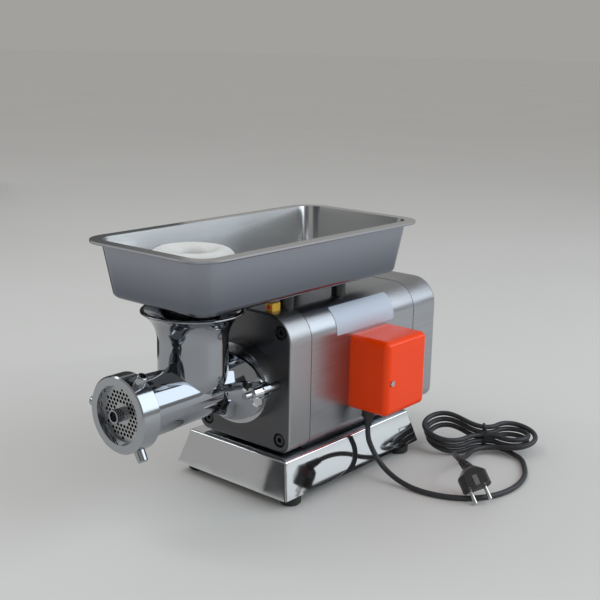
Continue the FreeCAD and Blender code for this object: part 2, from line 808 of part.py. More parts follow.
fan_rear = fan_front + fan_length
pinion_root = first_pinion_teeth * first_module / 2 - 1.25 * first_module
pinion_bore = pinion_root - 2
motor_shaft = rod(pinion_bore, first_gear_front, plate_front)
motor_shaft = motor_shaft.fuse(rod(motor_shaft_radius, plate_front, fan_rear))
save("motor_shaft", motor_shaft)
save("motor_pinion", gear(first_pinion_teeth, first_module, pinion_bore, first_gear_front, first_gear_rear,
                          drive_height, -math.pi / 2))
rotor_radius = stator_bore - air_gap
save("rotor_core", tube(motor_shaft_radius, rotor_radius, stator_front, stator_rear))
fan = tube(motor_shaft_radius, fan_hub_radius, fan_front, fan_rear)
fan = fan.fuse(tube(fan_hub_radius - 1, fan_radius, fan_front, fan_front + fan_blade_thickness))
for n in range(fan_blades):
    blade = block(-fan_blade_thickness / 2, fan_blade_thickness / 2, fan_front, fan_rear,
                  drive_height + fan_hub_radius - 1, drive_height + fan_radius)
    blade.rotate(Vector(0, 0, drive_height), Vector(0, 1, 0), n * 360 / fan_blades)
    fan = fan.fuse(blade)
save("cooling_fan", fan.removeSplitter())

# Mounting ring on the front wall, with open side slots for the clamp studs
ring = oval(ring_half_width, ring_half_height, ring_front, body_front)
ring = ring.cut(rod(ring_bore, ring_front, body_front))
for side in (-1, 1):
    near = side * (stud_x - stud_radius - 3)
    far = side * (ring_half_width + 2)
    ring = ring.cut(block(min(near, far), max(near, far), ring_front, body_front,
                          drive_height - ring_slot_height / 2, drive_height + ring_slot_height / 2))
head_rear = ring_front + ring_screw_head_height + 1
for x, z in ring_screw_places:
    ring = ring.cut(rod(ring_screw_head_radius + slip_gap, ring_front, head_rear, x, z))
    ring = ring.cut(rod(ring_screw_radius + running_gap, ring_front, body_front, x, z))
save("mounting_ring", ring)
save("ring_screws", *[socket_screw(ring_screw_radius, ring_screw_head_radius,
                                   head_rear - ring_screw_head_height, head_rear,
                                   body_front + stud_hold - 1, x, z) for x, z in ring_screw_places])
save("clamp_studs", *[rod(stud_radius, body_front - stud_reach, body_front + stud_hold, side * stud_x)
                      for side in (-1, 1)])

# Wing nuts against the head's ears
ear_front = head_seat - ear_thickness
hub_front = ear_front - face_gap - wing_hub_length
lean = math.radians(wing_angle)
for name, side in (("left", -1), ("right", 1)):
    x = side * stud_x
    wing_nut = rod(wing_hub_radius, hub_front, ear_front - face_gap, x)
    for way in (-1, 1):
        middle = Vector(x + way * wing_reach * math.cos(lean), hub_front,
                        drive_height + way * wing_reach * math.sin(lean))
        flat = Vector(-math.sin(lean), 0, math.cos(lean))
        wing = Part.makeCylinder(wing_radius, wing_thickness, middle - flat * (wing_thickness / 2), flat)
        wing_nut = wing_nut.fuse(wing)
    wing_nut = wing_nut.cut(rod(stud_radius + running_gap, hub_front - wing_radius, ear_front, x))
    save(f"wing_nut_{name}", wing_nut)

# Grinder head: one casting of spigot, bell flange, barrel, neck and trumpet mouth
bell_front = head_seat - bell_rim
bell_end = bell_front - bell_length
collar_rear = head_front + collar_length
bell_rise = bell_half_width - barrel_rear_radius
head = turned_y((head_front, 0), (head_front, collar_radius), (collar_rear, collar_radius),
                (collar_rear, barrel_front_radius), (bell_end, barrel_rear_radius),
                (bell_front - bell_length * 0.3, barrel_rear_radius + bell_rise * 0.3,
                 bell_front, bell_half_width),
                (head_seat, bell_half_width), (head_seat, ring_bore - slip_gap),
                (spigot_rear, ring_bore - slip_gap), (spigot_rear, 0))
bell = oval(bell_half_width, bell_half_height, bell_end, head_seat)
bell = bell.fuse(rod(barrel_front_radius, bell_end, head_seat))
head = head.cut(rod(bell_half_width * 2, bell_end, head_seat).cut(bell))
for side in (-1, 1):
    ear = rod(ear_radius, ear_front, head_seat, side * stud_x)
    near = side * barrel_rear_radius
    far = side * stud_x
    ear = ear.fuse(block(min(near, far), max(near, far), ear_front, head_seat,
                         drive_height - ear_radius, drive_height + ear_radius))
    head = head.fuse(ear)
flare_low = mouth_height - mouth_flare
outer_mouth = mouth_radius
neck_inset = neck_radius * 0.3
root_radius = (neck_inset ** 2 + neck_root ** 2) / (2 * neck_inset)
root_half = math.asin(neck_root / root_radius) / 2
flare_out = outer_mouth - neck_radius
flare_rise = mouth_flare - mouth_wall
flare_radius = (flare_out ** 2 + flare_rise ** 2) / (2 * flare_out)
flare_half = math.asin(flare_rise / flare_radius) / 2
neck = turned_z(0, neck_y, (0, drive_height), (neck_radius - neck_inset, drive_height),
                (neck_radius - root_radius * (1 - math.cos(root_half)),
                 drive_height + neck_root - root_radius * math.sin(root_half),
                 neck_radius, drive_height + neck_root),
                (neck_radius, flare_low),
                (neck_radius + flare_radius * (1 - math.cos(flare_half)),
                 flare_low + flare_radius * math.sin(flare_half), outer_mouth, mouth_height - mouth_wall),
                (outer_mouth + mouth_wall / 2, mouth_height - mouth_wall / 2, outer_mouth, mouth_height),
                (0, mouth_height))
head = head.fuse(neck)
inner_mouth = mouth_radius - mouth_wall
throat_top = flare_low - 12
throat = turned_z(0, neck_y, (0, drive_height), (throat_radius, drive_height), (throat_radius, throat_top),
                  (throat_radius + (inner_mouth - throat_radius) * 0.25, mouth_height - mouth_flare * 0.45,
                   inner_mouth, mouth_height),
                  (0, mouth_height))
head = head.cut(throat)
head = head.cut(rod(barrel_bore, head_front, bush_front))
head = head.cut(rod(knife_radius + 2, head_front, knife_rear))
head = head.cut(rod(plate_radius + slip_gap, head_front, cut_rear))
bush_radius = auger_shank_radius + bush_wall
head = head.cut(rod(bush_radius, bush_front, spigot_rear))
slot_half = stud_radius + slip_gap
for side in (-1, 1):
    near = side * stud_x
    far = side * (stud_x + ear_radius)
    head = head.cut(rod(slot_half, ear_front, head_seat, near))
    head = head.cut(block(min(near, far), max(near, far), ear_front, head_seat,
                          drive_height - slot_half, drive_height + slot_half))
save("grinder_head", head)
save("rear_bush", tube(auger_shank_radius + running_gap, bush_radius, bush_front, spigot_rear))

# Hole plate: rows of small holes in a six-sided pattern round a hub
plate = rod(plate_radius, cut_front, cut_rear).cut(rod(nose_radius + running_gap, cut_front, cut_rear))
holes = []
rows = int(plate_pattern_radius / plate_hole_pitch) + 1
for i in range(-2 * rows, 2 * rows + 1):
    for j in range(-2 * rows, 2 * rows + 1):
        across = plate_hole_pitch * (i + j / 2)
        up = plate_hole_pitch * j * math.sqrt(0.75)
        if plate_hub_radius < math.hypot(across, up) < plate_pattern_radius:
            holes.append(rod(plate_hole_radius, cut_front, cut_rear, across, drive_height + up))
save("hole_plate", plate.cut(Part.makeCompound(holes)))

# Cross knife behind the plate, driven by the square on the auger's nose
knife_front = cut_rear + face_gap
knife = rod(knife_hub_radius, knife_front, knife_rear)
for n in range(4):
    arm = outline(lambda x, z: Vector(x, knife_front, drive_height + z),
                  (0, -knife_arm_width / 2), (knife_radius, -knife_arm_width / 2),
                  (knife_radius, knife_arm_width / 6), (0, knife_arm_width / 2))
    arm = arm.extrude(Vector(0, knife_thickness, 0))
    arm.rotate(Vector(0, 0, drive_height), Vector(0, 1, 0), n * 90)
    knife = knife.fuse(arm)
knife = knife.common(rod(knife_radius, knife_front, knife_rear))
half_square = knife_square / 2
square_hole = half_square + face_gap
knife = knife.cut(block(-square_hole, square_hole, knife_front, knife_rear,
                        drive_height - square_hole, drive_height + square_hole))
save("cross_knife", knife.removeSplitter())

# Auger: bored nose, knife square, core with a helical flight, shank and driving tang
auger = rod(nose_radius, nose_front, knife_front)
auger = auger.fuse(block(-half_square, half_square, knife_front, knife_rear,
                         drive_height - half_square, drive_height + half_square))
auger = auger.fuse(rod(auger_core_radius, knife_rear, bush_front))
auger = auger.fuse(rod(auger_shank_radius, bush_front, spigot_rear))
half_tang = tang_square / 2
auger = auger.fuse(block(-half_tang, half_tang, spigot_rear, spigot_rear + tang_length,
                         drive_height - half_tang, drive_height + half_tang))
auger = auger.cut(rod(nose_bore, nose_front, nose_front + nose_bore_depth))
flight_radius = barrel_bore - auger_flight_gap
helix = Part.makeHelix(auger_pitch, auger_pitch * auger_turns, flight_radius)
half_flight = auger_flight_thickness / 2
blade_section = Part.makePolygon([Vector(auger_core_radius - 2, 0, -half_flight * 1.6),
                                  Vector(flight_radius, 0, -half_flight * 0.7),
                                  Vector(flight_radius, 0, half_flight * 0.7),
                                  Vector(auger_core_radius - 2, 0, half_flight * 1.6),
                                  Vector(auger_core_radius - 2, 0, -half_flight * 1.6)])
flight = Part.Wire(helix.Edges).makePipeShell([blade_section], True, True)
flight.rotate(Vector(0, 0, 0), Vector(1, 0, 0), -90)
flight.translate(Vector(0, knife_rear + auger_flight_thickness, drive_height))
save("auger", auger.fuse(flight))

# Ring nut: front lip round the plate, plain bore over the barrel's collar, three turning lugs
nut = turned_y((nut_front, nut_opening_radius), (nut_front, nut_radius - nut_bevel),
               (nut_front + nut_bevel, nut_radius), (nut_rear - nut_bevel, nut_radius),
               (nut_rear, nut_radius - nut_bevel), (nut_rear, collar_radius + running_gap),
               (cut_front - face_gap, collar_radius + running_gap),
               (cut_front - face_gap, nut_opening_radius - nut_bevel))
nut_middle = (nut_front + nut_rear) / 2
for angle in lug_angles:
    out = Vector(math.cos(math.radians(angle)), 0, math.sin(math.radians(angle)))
    root = Vector(0, nut_middle, drive_height) + out * (nut_radius - 2)
    lug = Part.makeCone(lug_radius, lug_tip_radius, lug_length + 2, root, out)
    lug = soften(lug, lug_tip_radius * 0.4, lambda c: (c - root).dot(out) > lug_length + 1)
    nut = nut.fuse(lug)
save("ring_nut", nut)

# Hopper tray: a drawn pan with a rolled rim, a hole over the throat and a spigot into the trumpet
tray_half = tray_rim_width / 2
tray_rim_rear = tray_rim_front + tray_rim_length


def pan(inset, z0, z1):
    """The pan's tapering block between two heights, drawn in by inset."""
    wires = []
    for z in (z0, z1):
        down = (tray_rim_height - z) / (tray_rim_height - tray_floor_height)
        dx = tray_rim_flange + tray_draft_x * down + inset
        dy = tray_rim_flange + tray_draft_y * down + inset
        wires.append(rounded_rectangle(-tray_half + dx, tray_half - dx, tray_rim_front + dy,
                                       tray_rim_rear - dy, z, tray_corner_radius - inset))
    return Part.makeLoft(wires, True, True)


tray = soften(pan(0, tray_floor_height, tray_rim_height), tray_floor_radius,
              lambda c: c.z < tray_floor_height + 0.01)
inside = soften(pan(tray_sheet, tray_floor_top, tray_rim_height + tray_sheet),
                tray_floor_radius - tray_sheet, lambda c: c.z < tray_floor_top + 0.01)
rim_face = Part.Face(rounded_rectangle(-tray_half, tray_half, tray_rim_front, tray_rim_rear, tray_rim_height,
                                       tray_corner_radius + tray_rim_flange))
rim = rim_face.extrude(Vector(0, 0, tray_sheet))
bead_path = rounded_rectangle(-tray_half + tray_bead_radius, tray_half - tray_bead_radius,
                              tray_rim_front + tray_bead_radius, tray_rim_rear - tray_bead_radius,
                              tray_rim_height + tray_sheet - tray_bead_radius,
                              tray_corner_radius + tray_rim_flange - tray_bead_radius)
bead_start = bead_path.Edges[0].valueAt(bead_path.Edges[0].FirstParameter)
bead_heading = bead_path.Edges[0].tangentAt(bead_path.Edges[0].FirstParameter)
bead = bead_path.makePipeShell([Part.Wire([Part.makeCircle(tray_bead_radius, bead_start, bead_heading)])],
                               True, False)
spigot_low = tray_floor_height - spigot_depth
tray = tray.fuse(rim).cut(inside).fuse(bead)
tray = tray.fuse(pillar(tray_hole_radius + tray_sheet, spigot_low, tray_floor_top, 0, neck_y))
tray = tray.cut(pillar(tray_hole_radius, spigot_low, tray_floor_top, 0, neck_y))
save("hopper_tray", tray)

body_block = body_prism(0, body_front, body_rear)
save("tray_posts", *[pillar(tray_post_radius, body_top - body_top_radius, tray_floor_height - face_gap,
                            side * tray_post_x, y).cut(body_block)
                     for side in (-1, 1) for y in (tray_post_front, tray_post_rear)])

# Pusher: a hollow moulded plunger with a wide dished head, standing on the tray's floor over the throat
seat = tray_floor_top + face_gap
shoulder_top = seat + pusher_shoulder_height
rim_top = seat + pusher_top_height
widest = rim_top - pusher_rim
waist_top = shoulder_top + 8
bore_radius = pusher_hole_radius - pusher_draft
plunger_low = seat - plunger_depth
pusher = turned_z(0, neck_y, (0, plunger_low), (plunger_radius - 2, plunger_low),
                  (plunger_radius, plunger_low + 2), (plunger_radius, seat), (pusher_shoulder_radius, seat),
                  (pusher_shoulder_radius, shoulder_top), (pusher_waist_radius + 2, waist_top),
                  (pusher_waist_radius + (pusher_top_radius - pusher_waist_radius) * 0.82,
                   waist_top + (widest - waist_top) * 0.38, pusher_top_radius, widest),
                  (pusher_crest_radius + (pusher_top_radius - pusher_crest_radius) * 0.74,
                   widest + pusher_rim * 0.74, pusher_crest_radius, rim_top),
                  (pusher_hole_radius + (pusher_crest_radius - pusher_hole_radius) * 0.34,
                   rim_top - pusher_dish * 0.34, pusher_hole_radius, rim_top - pusher_dish),
                  (bore_radius, rim_top - pusher_dish - 6), (bore_radius, plunger_low + pusher_floor),
                  (0, plunger_low + pusher_floor))
save("pusher", pusher)

# Stop switch: a small block on the housing's shoulder with a push button in its front face
switch_front = body_front + switch_setback
switch_low = body_top
button_z = switch_low + switch_height / 2
switch = block(switch_x - switch_width / 2, switch_x + switch_width / 2, switch_front,
               switch_front + switch_length, switch_low, switch_low + switch_height)
switch = soften(switch, 1.0, lambda c: c.z > switch_low + 0.5)
button_rear = switch_front + button_hold
switch = switch.cut(rod(button_radius + face_gap, switch_front - 1, button_rear + button_travel + face_gap,
                        switch_x, button_z))
save("switch_block", switch)
button = rod(button_radius, switch_front - button_proud, button_rear, switch_x, button_z)
save("stop_button", soften(button, 0.6, lambda c: c.y < switch_front - button_proud + 0.01))

# Control box: a moulded cover over a bracket with the screw pillar and the capacitor
box_rear = box_front + box_length
box_top = box_low + box_height


def box_form(inset, x0, x1):
    form = block(x0, x1, box_front + inset, box_rear - inset, box_low + inset, box_top - inset)
    return soften(form, box_edge_radius - inset, lambda c: c.x > x0 + 0.01)


screw_y = box_front + box_screw_inset
screw_z = box_low + box_screw_height
box_inner = box_out - box_wall


def rod_x(radius, x0, x1):
    return Part.makeCylinder(radius, x1 - x0, Vector(x0, screw_y, screw_z), Vector(1, 0, 0))


cover_box = box_form(0, body_half, box_out).cut(box_form(box_wall, body_half, box_inner))
cover_box = cover_box.cut(rod_x(box_screw_radius + slip_gap, box_inner, box_out))
save("control_box", cover_box)
room = box_wall + bracket_gap
bracket_out = body_half + bracket_thickness
bracket = box_form(room, body_half, box_inner).common(block(body_half, bracket_out, box_front, box_rear,
                                                              box_low, box_top))
bracket = bracket.cut(Part.makeCylinder(wire_hole_radius, bracket_thickness,
                                        Vector(body_half, wire_y, wire_z), Vector(1, 0, 0)))
screw_pillar = rod_x(box_pillar_radius, body_half, box_inner)
bracket = bracket.fuse(screw_pillar.common(box_form(box_wall + slip_gap, body_half, box_inner)))
screw_end = box_inner - box_screw_hold
screw_hole = rod_x(box_screw_radius + running_gap, screw_end - box_screw_spare, box_inner)
save("box_bracket", bracket.cut(screw_hole))
box_screw = rod_x(box_screw_head_radius, box_out, box_out + box_screw_head)
box_screw = box_screw.cut(block(box_out + box_screw_head / 2, box_out + box_screw_head,
                                screw_y - box_screw_head_radius, screw_y + box_screw_head_radius,
                                screw_z - box_screw_slot / 2, screw_z + box_screw_slot / 2))
save("box_screw", box_screw.fuse(rod_x(box_screw_radius, screw_end, box_out)))
capacitor = block(bracket_out, bracket_out + capacitor_depth, wire_y + capacitor_offset,
                  wire_y + capacitor_offset + capacitor_width,
                  wire_z - capacitor_height / 2, wire_z + capacitor_height / 2)
save("capacitor", soften(capacitor, capacitor_edge_radius, lambda c: c.x > bracket_out + 1))
gland_shoulder = box_low - gland_nut_length
gland = pillar(gland_nut_radius, gland_shoulder, box_low, gland_x, gland_y)
gland = gland.fuse(Part.makeCone(gland_tip_radius, gland_nut_radius - 2, gland_shoulder - gland_low,
                                 Vector(gland_x, gland_y, gland_low)))
save("cable_gland", gland)

# Mains lead: down from the gland and round on the floor into the hank
floor_line = cord_radius + 0.1
turn = math.radians(hank_angle)
hank_u = Vector(math.cos(turn), math.sin(turn), 0)
hank_v = Vector(-math.sin(turn), math.cos(turn), 0)


def hank_place(u, v, layer):
    low = cord_radius + hank_lift
    return Vector(hank_x, hank_y, low + layer * hank_layer) + hank_u * u + hank_v * v


# The hank: loops of one cord that lie the same way, drawn in at the tied waist, each loop one layer higher
entry_reach = hank_entry_radius * math.sin(hank_entry_turn)
entry_fall = hank_entry_radius * (1 - math.cos(hank_entry_turn))
entry = hank_place(entry_reach, -hank_waist - entry_fall, 0)
entry_heading = hank_u * -math.cos(hank_entry_turn) + hank_v * math.sin(hank_entry_turn)
hank_start = entry - entry_heading * cord_diameter
left = hank_u * -1
right = hank_u
hank_edges = [Part.LineSegment(hank_start, entry).toShape()]
hank_edges.append(arc_from(entry, entry_heading, hank_place(0, -hank_waist, 0)))
for loop in range(hank_loops):
    fan = loop * hank_fan_step
    lobe = hank_left_radius + fan / 2
    far = hank_left_offset + fan
    near_lobe = hank_right_radius
    near_far = hank_right_offset + fan / 2
    raised = loop + hank_left_rise / hank_layer
    stops = [(0, -hank_waist, loop, left), (-far, -lobe, loop, left), (-far, lobe, raised, right),
             (0, hank_waist, loop + 1, right)]
    if loop < hank_loops - 1:
        stops += [(near_far, near_lobe, loop + 1, right), (near_far, -near_lobe, loop + 1, left),
                  (0, -hank_waist, loop + 1, left)]
    else:
        stops += [(hank_last_reach, hank_last_top, loop + 1, right),
                  (hank_last_reach, -hank_last_low, hank_last_layer, left),
                  (hank_exit_along, -hank_waist - hank_exit_step, hank_exit_layer, left)]
    for (u0, v0, k0, t0), (u1, v1, k1, t1) in zip(stops, stops[1:]):
        hank_edges += biarc(hank_place(u0, v0, k0), t0, hank_place(u1, v1, k1), t1)
leave = hank_place(hank_exit_along, -hank_waist - hank_exit_step, hank_exit_layer)
exit_heading = hank_u * -math.cos(hank_entry_turn) - hank_v * math.sin(hank_entry_turn)
exit_end = leave - hank_u * entry_reach - hank_v * entry_fall
hank_edges.append(arc_from(leave, left, exit_end))
hank_end = exit_end + exit_heading * cord_diameter
hank_edges.append(Part.LineSegment(exit_end, hank_end).toShape())
hank_radii = [e.Curve.Radius for e in hank_edges if e.Curve.TypeId == "Part::GeomCircle"]
hank = cord_tube(hank_edges)
save("cord_hank", hank)
report_tube("cord_hank", hank, hank_edges, hank_radii)

samples = []
for edge in hank_edges:
    samples += edge.discretize(max(3, int(edge.Length / 2)))[:-1]
least = min((a - b).Length for i, a in enumerate(samples) for b in samples[i + int(2 * cord_diameter):])
print(f"cord_hank: least gap to itself {least - cord_diameter:.2f}")

gland_exit = Vector(gland_x, gland_y, gland_low)
lead_route = [gland_exit, gland_exit - Vector(0, 0, 14), Vector(100, 19, 40), Vector(108, 21.5, 26),
              Vector(121.5, 21, 14.5), Vector(143, 18, 7), Vector(167, 16, floor_line),
              Vector(191, 16.5, floor_line), Vector(216, 24, floor_line), Vector(239, 40, floor_line),
              Vector(255, 66, floor_line), Vector(261.5, 97, floor_line), Vector(259.5, 124, floor_line),
              Vector(253, 148, floor_line), Vector(241, 170, floor_line),
              hank_start - entry_heading * 22, hank_start]
lead_edges, lead_radii = rounded_route(lead_route)
lead = cord_tube(lead_edges)
save("cord_lead", lead)
report_tube("cord_lead", lead, lead_edges, lead_radii)

# Plug: round body with flats, tapering to a ribbed relief, two pins and two side clips
plug_aim.normalize()
plug_across = plug_across - plug_aim * plug_across.dot(plug_aim)
plug_across.normalize()
plug_up = plug_across.cross(plug_aim)


def along_plug(back, across=0.0, up=0.0):
    return plug_face - plug_aim * back + plug_across * across + plug_up * up


def plug_slab(back0, back1, half_across, up0, up1):
    corners = [along_plug(back0, s * half_across, up0) for s in (-1, 1)]
    corners += [along_plug(back1, s * half_across, up0) for s in (1, -1)]
    face = Part.Face(Part.makePolygon(corners + corners[:1]))
    return face.extrude(plug_up * (up1 - up0))


plug_back = plug_aim * -1
taper_back = plug_length + plug_taper_length
plug = Part.makeCylinder(plug_radius, plug_length, plug_face, plug_back)
plug = plug.fuse(Part.makeCone(plug_radius, plug_neck_radius + 2, plug_taper_length,
                               along_plug(plug_length), plug_back))
plug = plug.common(plug_slab(0, taper_back, plug_radius, -plug_flat, plug_flat))
clips = []
for way in (-1, 1):
    groove = sorted((way * (plug_flat - clip_thickness), way * plug_flat))
    plug = plug.cut(plug_slab(0, clip_length, clip_width / 2, *groove))
    clips.append(plug_slab(0, clip_length, clip_width / 2, *groove))
relief_aim.normalize()
relief_base = along_plug(taper_back)
relief = Part.makeCone(plug_neck_radius, relief_tip_radius, relief_length, relief_base, relief_aim)
relief = relief.fuse(Part.makeSphere(plug_neck_radius, relief_base))
ring_pitch = relief_length / (relief_rings + 1)
for n in range(1, relief_rings + 1):
    share = n / (relief_rings + 1)
    bore = plug_neck_radius + (relief_tip_radius - plug_neck_radius) * share - 1
    start = relief_base + relief_aim * (relief_length * share)
    rib = Part.makeCylinder(plug_neck_radius, ring_pitch / 2, start, relief_aim)
    relief = relief.cut(rib.cut(Part.makeCylinder(bore, ring_pitch, start, relief_aim)))
save("plug_body", plug.fuse(relief))
pins = []
for way in (-1, 1):
    base = along_plug(0, way * pin_spacing / 2)
    pin = Part.makeCylinder(pin_radius, pin_length, base, plug_aim)
    pins.append(soften(pin, pin_radius * 0.6, lambda c: (c - base).dot(plug_aim) > pin_length - 0.01))
save("plug_pins", *pins)
save("plug_clips", *clips)

relief_end = relief_base + relief_aim * relief_length
tail_edges = biarc(hank_end, exit_heading, relief_end, relief_aim * -1)
tail_radii = [e.Curve.Radius for e in tail_edges]
tail = cord_tube(tail_edges)
save("cord_tail", tail)
report_tube("cord_tail", tail, tail_edges, tail_radii)

# Twist tie round the waist of the hank
tie_gap = tie_thickness + slip_gap
tie_low = hank_lift - tie_gap
tie_high = hank_place(0, 0, hank_loops).z + cord_radius + tie_gap
tie_half = hank_waist + cord_radius + tie_gap


def tie_loop(half, low, high):
    corners = [hank_place(-tie_width / 2, v, 0) for v in (-half, half)]
    wire = [Vector(c.x, c.y, z) for c, z in zip(corners + corners[::-1], (low, low, high, high))]
    return Part.Face(Part.makePolygon(wire + wire[:1])).extrude(hank_u * tie_width)


tie_hole = tie_loop(tie_half - tie_thickness, tie_low + tie_thickness, tie_high - tie_thickness)
save("cord_tie", tie_loop(tie_half, tie_low, tie_high).cut(tie_hole))
total = sum(e.Length for e in hank_edges + lead_edges + tail_edges)
print(f"cord: whole length {total:.0f}, hank ends at {hank_start} and {hank_end}")
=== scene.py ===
import math

import bmesh
import bpy
from mathutils import Matrix, Vector


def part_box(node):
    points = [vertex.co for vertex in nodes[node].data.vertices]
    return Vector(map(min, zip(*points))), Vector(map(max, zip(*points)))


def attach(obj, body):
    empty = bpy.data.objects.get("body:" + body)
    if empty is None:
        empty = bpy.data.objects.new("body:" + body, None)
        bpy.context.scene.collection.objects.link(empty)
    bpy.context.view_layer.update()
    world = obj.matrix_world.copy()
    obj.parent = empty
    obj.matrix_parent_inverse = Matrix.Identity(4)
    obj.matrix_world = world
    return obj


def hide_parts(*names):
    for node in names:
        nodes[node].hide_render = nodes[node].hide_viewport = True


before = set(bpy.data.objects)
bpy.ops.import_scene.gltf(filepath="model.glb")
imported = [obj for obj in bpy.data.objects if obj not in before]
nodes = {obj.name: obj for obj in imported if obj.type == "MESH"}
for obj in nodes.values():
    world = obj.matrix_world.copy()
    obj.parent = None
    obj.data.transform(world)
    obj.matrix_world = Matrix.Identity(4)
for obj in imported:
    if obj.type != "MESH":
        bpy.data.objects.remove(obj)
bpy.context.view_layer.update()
scene = bpy.context.scene

# Camera: a medium lens held higher than the tray, in front of the machine and to its control-box side.
# It looks a little down and is turned slightly about its own line of sight.
camera_place = Vector((0.8127, -0.9334, 0.5345))
camera_side = math.radians(40.128)
camera_rise = math.radians(13.700)
camera_tilt = math.radians(1.142)
camera_lens = 62.19
camera_sensor = 36.0


def put(name, data):
    """A new object in the scene."""
    placed = bpy.data.objects.new(name, data)
    scene.collection.objects.link(placed)
    return placed


camera = put("camera", bpy.data.cameras.new("camera"))
camera.data.lens = camera_lens
camera.data.sensor_width = camera_sensor
back = Vector((math.sin(camera_side) * math.cos(camera_rise),
               -math.cos(camera_side) * math.cos(camera_rise), math.sin(camera_rise)))
level = Vector((math.cos(camera_side), math.sin(camera_side), 0))
upright = back.cross(level)
across = level * math.cos(camera_tilt) + upright * math.sin(camera_tilt)
upward = upright * math.cos(camera_tilt) - level * math.sin(camera_tilt)
camera_turn = Matrix((across, upward, back)).transposed().to_4x4()
camera.matrix_world = Matrix.Translation(camera_place) @ camera_turn
scene.camera = camera
scene.view_settings.view_transform = "Standard"

# Mains lead: a round cord in a black sheath. It leaves the gland under the control box, lies on the table,
# is folded into a hank of three loops under a tie, and its tail rises to the moulded plug.
cord_diameter = 0.0068
cord_floor = 3.5
hank_middle = Vector((159.6, 202.1, 4.8))
hank_turn = math.radians(40)
hank_along = Vector((math.cos(hank_turn), math.sin(hank_turn), 0))
hank_across = Vector((-math.sin(hank_turn), math.cos(hank_turn), 0))
hank_layer = 8.2
hank_waist = 4.0
hank_loops = 3
left_reach, left_reach_growth = 50.0, 2.0
left_half, left_half_growth = 27.0, 1.0
left_climb = 20.0
right_reach, right_reach_growth = 37.0, 1.0
right_half = 22.0
last_reach, last_top, last_low, last_layer = 40.0, 23.0, 34.0, 1.25
exit_along, exit_step, exit_layer = 6.0, 19.5, 0.5
bend_rise = (0.1, 0.4, 0.6, 0.9)
lobe_points = 6
base_low, base_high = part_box("base_skirt")
base_middle = (base_low + base_high) / 2
base_middle.z = 0


def at(x, y, z):
    """A place in millimetres from the middle of the base, with the table at zero."""
    return base_middle + Vector((x, y, z)) / 1000


def in_hank(along, over, layer):
    """A place in the hank: millimetres along it and across it, and layers of cord up."""
    return at(*(hank_middle + hank_along * along + hank_across * over + Vector((0, 0, layer * hank_layer))))


def hank_bend(along0, over0, along1, over1, low, high):
    """Points of an even double bend, from one run along the hank to another beside it."""
    run, shift = along1 - along0, over1 - over0
    swing = 2 * math.atan2(abs(shift), abs(run))
    corner = (run ** 2 + shift ** 2) / (4 * abs(shift)) * math.tan(swing / 4)
    ahead = math.copysign(corner, run)
    slope = ahead * math.cos(swing)
    slant = math.copysign(corner * math.sin(swing), shift)
    middle, half_over = (along0 + along1) / 2, (over0 + over1) / 2
    bend = ((along0 + ahead, over0), (middle - slope, half_over - slant),
            (middle + slope, half_over + slant), (along1 - ahead, over1))
    return [in_hank(along, over, low + (high - low) * rise) for (along, over), rise in zip(bend, bend_rise)]


def hank_lobe(way, reach, start, end, low, high):
    """Points of a half circle round the end of the hank, which the curve touches between them."""
    step = math.pi / lobe_points
    radius = abs(end - start) / 2 / math.cos(step / 2)
    lobe = []
    for n in range(lobe_points):
        angle = math.pi / 2 - step * (n + 0.5)
        over = (start + end) / 2 + math.copysign(radius, start - end) * math.sin(angle)
        layer = low + (high - low) * (n + 0.5) / lobe_points
        lobe.append(in_hank(way * (reach + radius * math.cos(angle)), over, layer))
    return lobe


lead_points = [at(97.3, 14.5, 68.8), at(97.3, 14.5, 54.8), at(100, 19, 40), at(108, 21.5, 26),
               at(121.5, 21, 14.5), at(143, 18, 7), at(167, 16, cord_floor), at(191, 16.5, cord_floor),
               at(216, 24, cord_floor), at(239, 40, cord_floor), at(255, 66, cord_floor),
               at(261.5, 97, cord_floor), at(259.5, 124, cord_floor), at(253, 148, cord_floor),
               at(241, 170, cord_floor), at(223.6, 194, 4.3),
               in_hank(34.4, -30.3, 0), in_hank(25.6, -13.7, 0), in_hank(9.4, -hank_waist, 0)]
hank_points = []
for loop in range(hank_loops):
    left = left_reach + left_reach_growth * loop
    half = left_half + left_half_growth * loop
    raised = loop + left_climb / hank_layer
    above = loop + 1
    hank_points += hank_bend(0, -hank_waist, -left, -half, loop, loop)
    hank_points += hank_lobe(-1, left, -half, half, loop, raised)
    hank_points += hank_bend(-left, half, 0, hank_waist, raised, above)
    if above < hank_loops:
        right = right_reach + right_reach_growth * loop
        hank_points += hank_bend(0, hank_waist, right, right_half, above, above)
        hank_points += hank_lobe(1, right, right_half, -right_half, above, above)
        hank_points += hank_bend(right, -right_half, 0, -hank_waist, above, above)
hank_points += hank_bend(0, hank_waist, last_reach, last_top, hank_loops, hank_loops)
hank_points += hank_lobe(1, last_reach, last_top, -last_low, hank_loops, last_layer)
hank_points += hank_bend(last_reach, -last_low, exit_along, -exit_step, last_layer, exit_layer)
tail_points = [in_hank(-3.4, -exit_step, exit_layer), in_hank(-19.6, -29.2, exit_layer),
               in_hank(-28.4, -45.8, exit_layer), at(169.7, 137.2, 8.9), at(175.5, 110.2, 17.3),
               at(179.7, 91.4, 30.3), at(188.4, 77.2, 36.7), at(201.3, 65.3, 38.7), at(209.1, 61.2, 37.4)]
cord_points = lead_points + hank_points + tail_points

cord_curve = bpy.data.curves.new("mains_cord", "CURVE")
cord_curve.dimensions = "3D"
spline = cord_curve.splines.new("NURBS")
spline.points.add(len(cord_points) - 1)
for point, place in zip(spline.points, cord_points):
    point.co = (*place, 1.0)
spline.order_u = 3
spline.use_endpoint_u = True
spline.resolution_u = 8
cord_curve.bevel_depth = cord_diameter / 2
cord_curve.bevel_resolution = 5
cord_curve.use_fill_caps = True
mains_cord = put("mains_cord", cord_curve)


